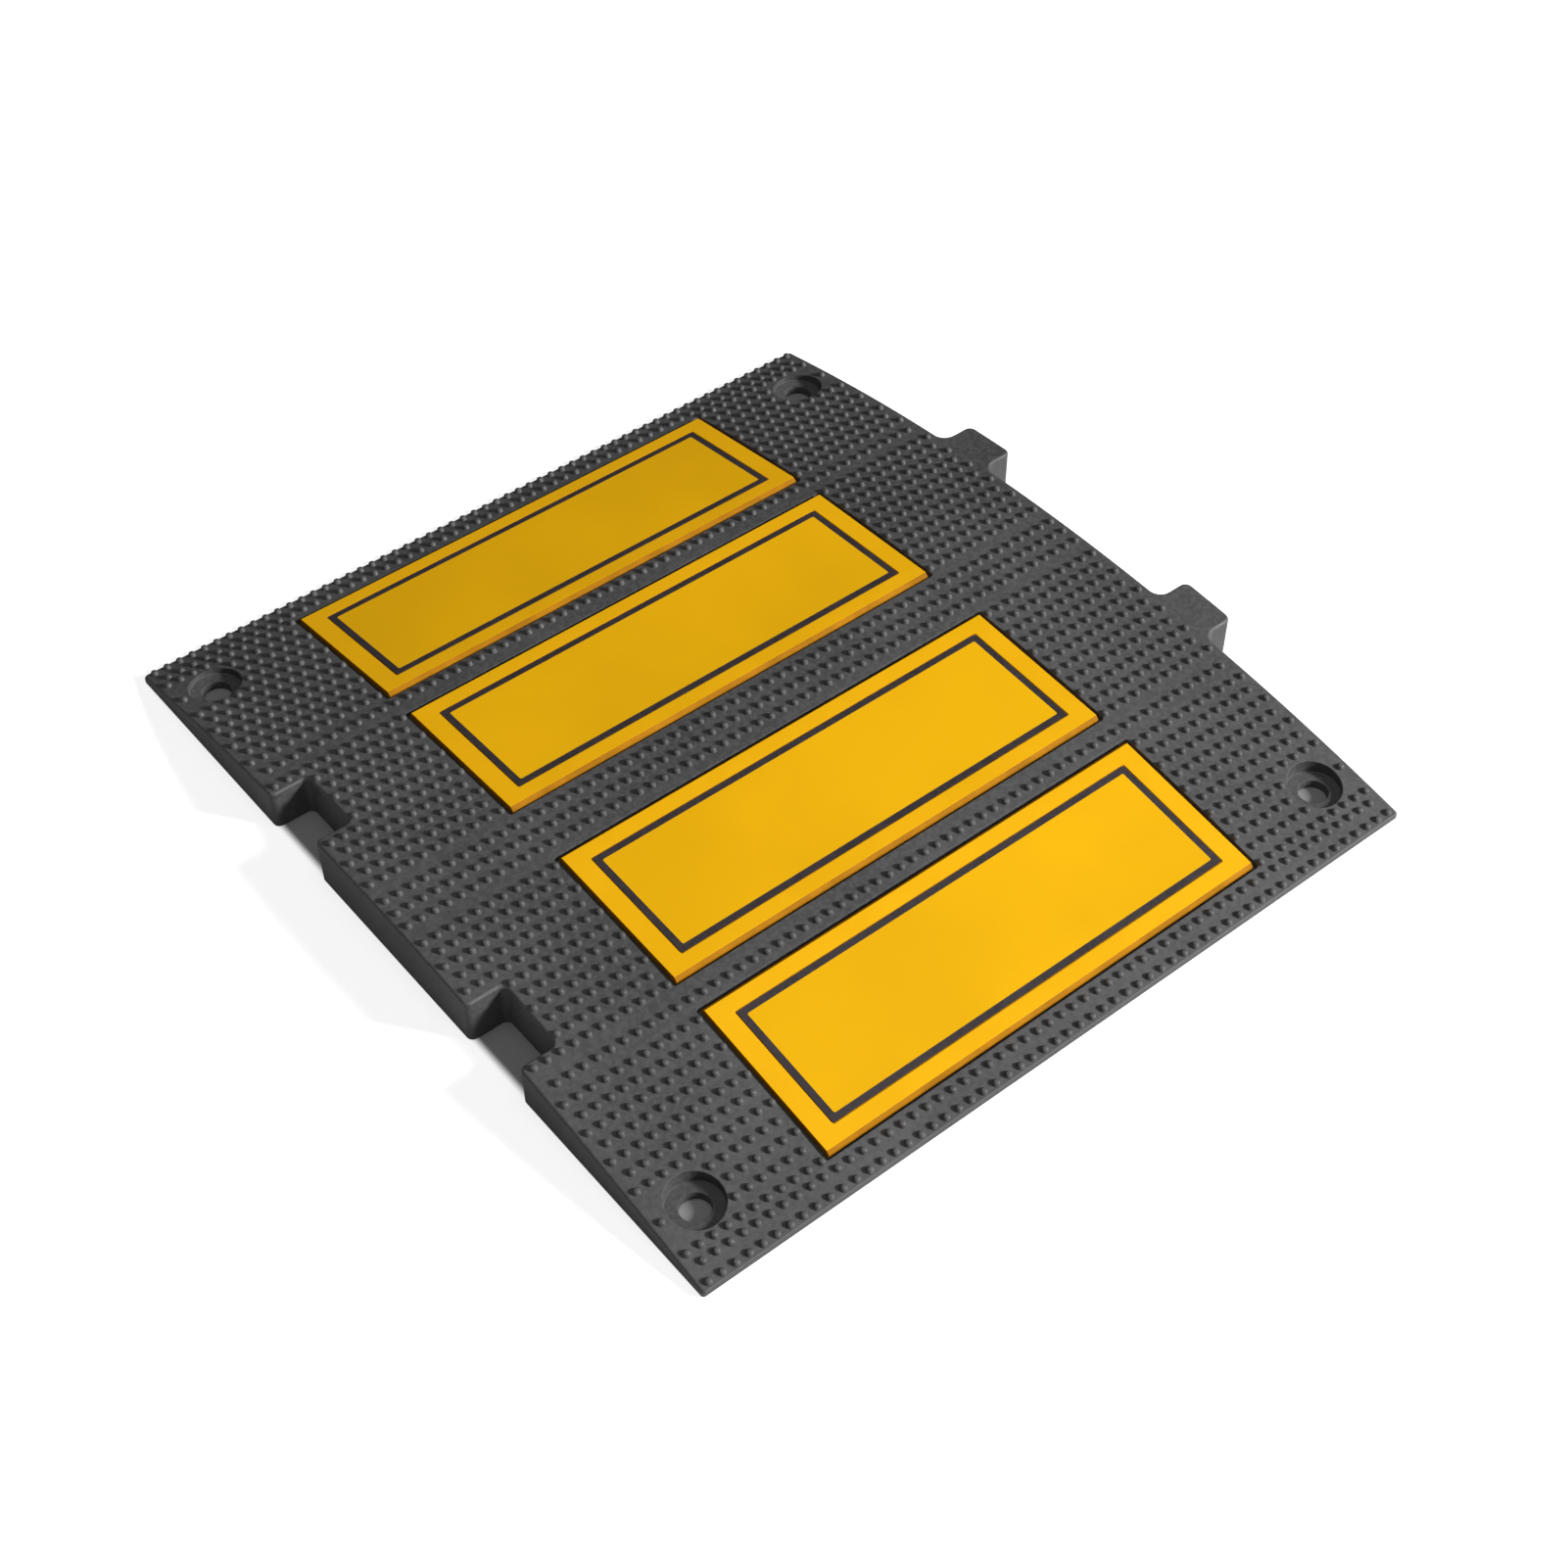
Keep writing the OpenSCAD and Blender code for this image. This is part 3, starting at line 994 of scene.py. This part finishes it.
def white_world(stage):
    """World that is white to the camera and lights the object softly from all round."""
    world = bpy.data.worlds.new("Studio")
    world.use_nodes = True
    tree = world.node_tree
    background = tree.nodes["Background"]
    background.inputs["Color"].default_value = (1, 1, 1, 1)
    path = add_node(tree, "ShaderNodeLightPath")
    strength = add_node(tree, "ShaderNodeMapRange")
    tree.links.new(path.outputs["Is Camera Ray"], strength.inputs["Value"])
    strength.inputs["To Min"].default_value = stage.ambient
    strength.inputs["To Max"].default_value = 1
    tree.links.new(strength.outputs["Result"], background.inputs["Strength"])
    return world


# Operators

class SPEEDBUMP_OT_rubber_body(Operator):
    """Models the arched rubber module with its tongues, pockets, bolt holes, recesses and underside cells"""

    bl_idname = "speedbump.rubber_body"
    bl_label = "Rubber body"

    def execute(self, context):
        settings = context.scene.speed_bump
        module = settings.module
        body = module_outline(module, settings.tongue)
        edit(body)
        pick("FACE")
        extrude(z=module.crown + OVERSHOOT)
        close_edit()
        face_outwards(body)
        combine(body, arched_slab(module, settings.tongue), "INTERSECT")
        combine(body, recess_cutters(module, settings.tile), "DIFFERENCE")
        combine(body, bolt_hole_cutters(module, settings.hole), "DIFFERENCE")
        combine(body, cell_cutters(module, settings.cell), "DIFFERENCE")
        round_rim(body, module, settings.tongue, settings.hole)
        soften(body, module.soft_edge)
        finish_piece(body, "rubber", [rubber_material(settings.colours)], "rubber_body")
        return {"FINISHED"}


class SPEEDBUMP_OT_studs(Operator):
    """Models one raised stud and lays it out in rows over the arch"""

    bl_idname = "speedbump.studs"
    bl_label = "Studs"

    def execute(self, context):
        settings = context.scene.speed_bump
        model = one_stud(settings.stud)
        rows = []
        for y, count, beside_tile in stud_rows(settings.stud):
            for side in ((1, -1) if y else (1,)):
                rows.append(stud_row(model, side * y, count, beside_tile, settings))
        bpy.data.objects.remove(model)
        studs = join(rows)
        studs.name = "rubber_studs"
        studs.data.name = "rubber_studs"
        combine(studs, bolt_hole_cutters(settings.module, settings.hole), "DIFFERENCE")
        activate(studs)
        bpy.ops.object.shade_smooth_by_angle(angle=STUD_SHARP_ANGLE)
        finish_piece(studs, "rubber", [rubber_material(settings.colours)])
        return {"FINISHED"}


class SPEEDBUMP_OT_tiles(Operator):
    """Models a bevelled reflective tile and seats one in each recess"""

    bl_idname = "speedbump.tiles"
    bl_label = "Tiles"

    def execute(self, context):
        settings = context.scene.speed_bump
        model = one_tile(settings.tile)
        indices = [face_or_edge(polygon) for polygon in model.data.polygons]
        # The second material paints shade onto each tile's bevels and sides.
        materials = [tile_material(settings.colours), painted_shade_tile_edge_material(settings.colours)]
        for row in ROWS:
            tile = copy_of(model, "reflective_tile_" + row)
            seat_on_arch(tile, settings.module, row_place(row))
            finish_piece(tile, "tile", materials, "tile_" + row)
            tile.data.polygons.foreach_set("material_index", indices)
        bpy.data.objects.remove(model)
        return {"FINISHED"}


class SPEEDBUMP_OT_sheets(Operator):
    """Gives the reflective sheets, their borders and the adhesive pads their finish"""

    bl_idname = "speedbump.sheets"
    bl_label = "Sheets, borders and pads"

    def execute(self, context):
        colours = context.scene.speed_bump.colours
        finishes = {
            "sheet_": sheet_material(colours),
            "border_": border_material(colours),
            "pad_": adhesive_material(colours),
        }
        for prefix, material in finishes.items():
            for row in ROWS:
                node = frame["nodes"][prefix + row]
                node.data.materials.clear()
                node.data.materials.append(material)
        return {"FINISHED"}


class SPEEDBUMP_OT_stage(Operator):
    """Adds the pale floor, the soft lamps and the camera at the photograph's angle"""

    bl_idname = "speedbump.stage"
    bl_label = "Stage"

    def lamp(self, name, place, size, power):
        """Adds a square lamp that faces the module."""
        bpy.ops.object.select_all(action="DESELECT")
        bpy.ops.object.light_add(type="AREA", location=place)
        lamp = bpy.context.object
        lamp.name = name
        lamp.data.size = size
        lamp.data.energy = power
        lamp.rotation_euler = (-Vector(place)).to_track_quat("-Z", "Y").to_euler()

    def execute(self, context):
        settings = context.scene.speed_bump
        stage = settings.stage
        scene = context.scene
        bpy.ops.object.select_all(action="DESELECT")
        bpy.ops.mesh.primitive_plane_add(size=stage.floor_size, location=(0, 0, -stage.floor_drop))
        floor = new_object("floor")
        settle(floor)
        floor.data.materials.append(floor_material(settings.colours, settings.module, stage))
        scene.world = white_world(stage)
        self.lamp("key_lamp", stage.key_place, stage.key_size, stage.key_power)
        self.lamp("overhead_lamp", stage.fill_place, stage.fill_size, stage.fill_power)
        bpy.ops.object.camera_add(location=stage.camera_place, rotation=stage.camera_turn)
        camera = bpy.context.object
        camera.name = "camera"
        camera.data.sensor_width = SENSOR_WIDTH
        camera.data.lens = stage.lens
        scene.camera = camera
        scene.view_settings.view_transform = "Standard"
        return {"FINISHED"}


class SPEEDBUMP_PT_sidebar(Panel):
    """Lists the build steps and the settings of the speed bump"""

    bl_label = "Speed Bump"
    bl_idname = "SPEEDBUMP_PT_sidebar"
    bl_space_type = "VIEW_3D"
    bl_region_type = "UI"
    bl_category = "Speed Bump"

    def draw(self, context):
        layout = self.layout
        for operator in OPERATORS:
            layout.operator(operator.bl_idname)
        settings = context.scene.speed_bump
        for title in SpeedBumpSettings.__annotations__:
            box = layout.box()
            box.label(text=title.title())
            group = getattr(settings, title)
            for name in type(group).__annotations__:
                box.prop(group, name)


# Registration

GROUPS = (
    ModuleSizes,
    TongueSizes,
    BoltHoleSizes,
    CellSizes,
    TileSizes,
    StudSizes,
    Colours,
    StageSettings,
    SpeedBumpSettings,
)
OPERATORS = (
    SPEEDBUMP_OT_rubber_body,
    SPEEDBUMP_OT_studs,
    SPEEDBUMP_OT_tiles,
    SPEEDBUMP_OT_sheets,
    SPEEDBUMP_OT_stage,
)
CLASSES = (*GROUPS, *OPERATORS, SPEEDBUMP_PT_sidebar)


def register():
    for cls in CLASSES:
        bpy.utils.register_class(cls)
    bpy.types.Scene.speed_bump = PointerProperty(type=SpeedBumpSettings)


def unregister():
    del bpy.types.Scene.speed_bump
    for cls in reversed(CLASSES):
        bpy.utils.unregister_class(cls)


def main():
    register()
    bpy.ops.speedbump.rubber_body()
    bpy.ops.speedbump.studs()
    bpy.ops.speedbump.tiles()
    bpy.ops.speedbump.sheets()
    bpy.ops.speedbump.stage()


if __name__ == "__main__":
    main()
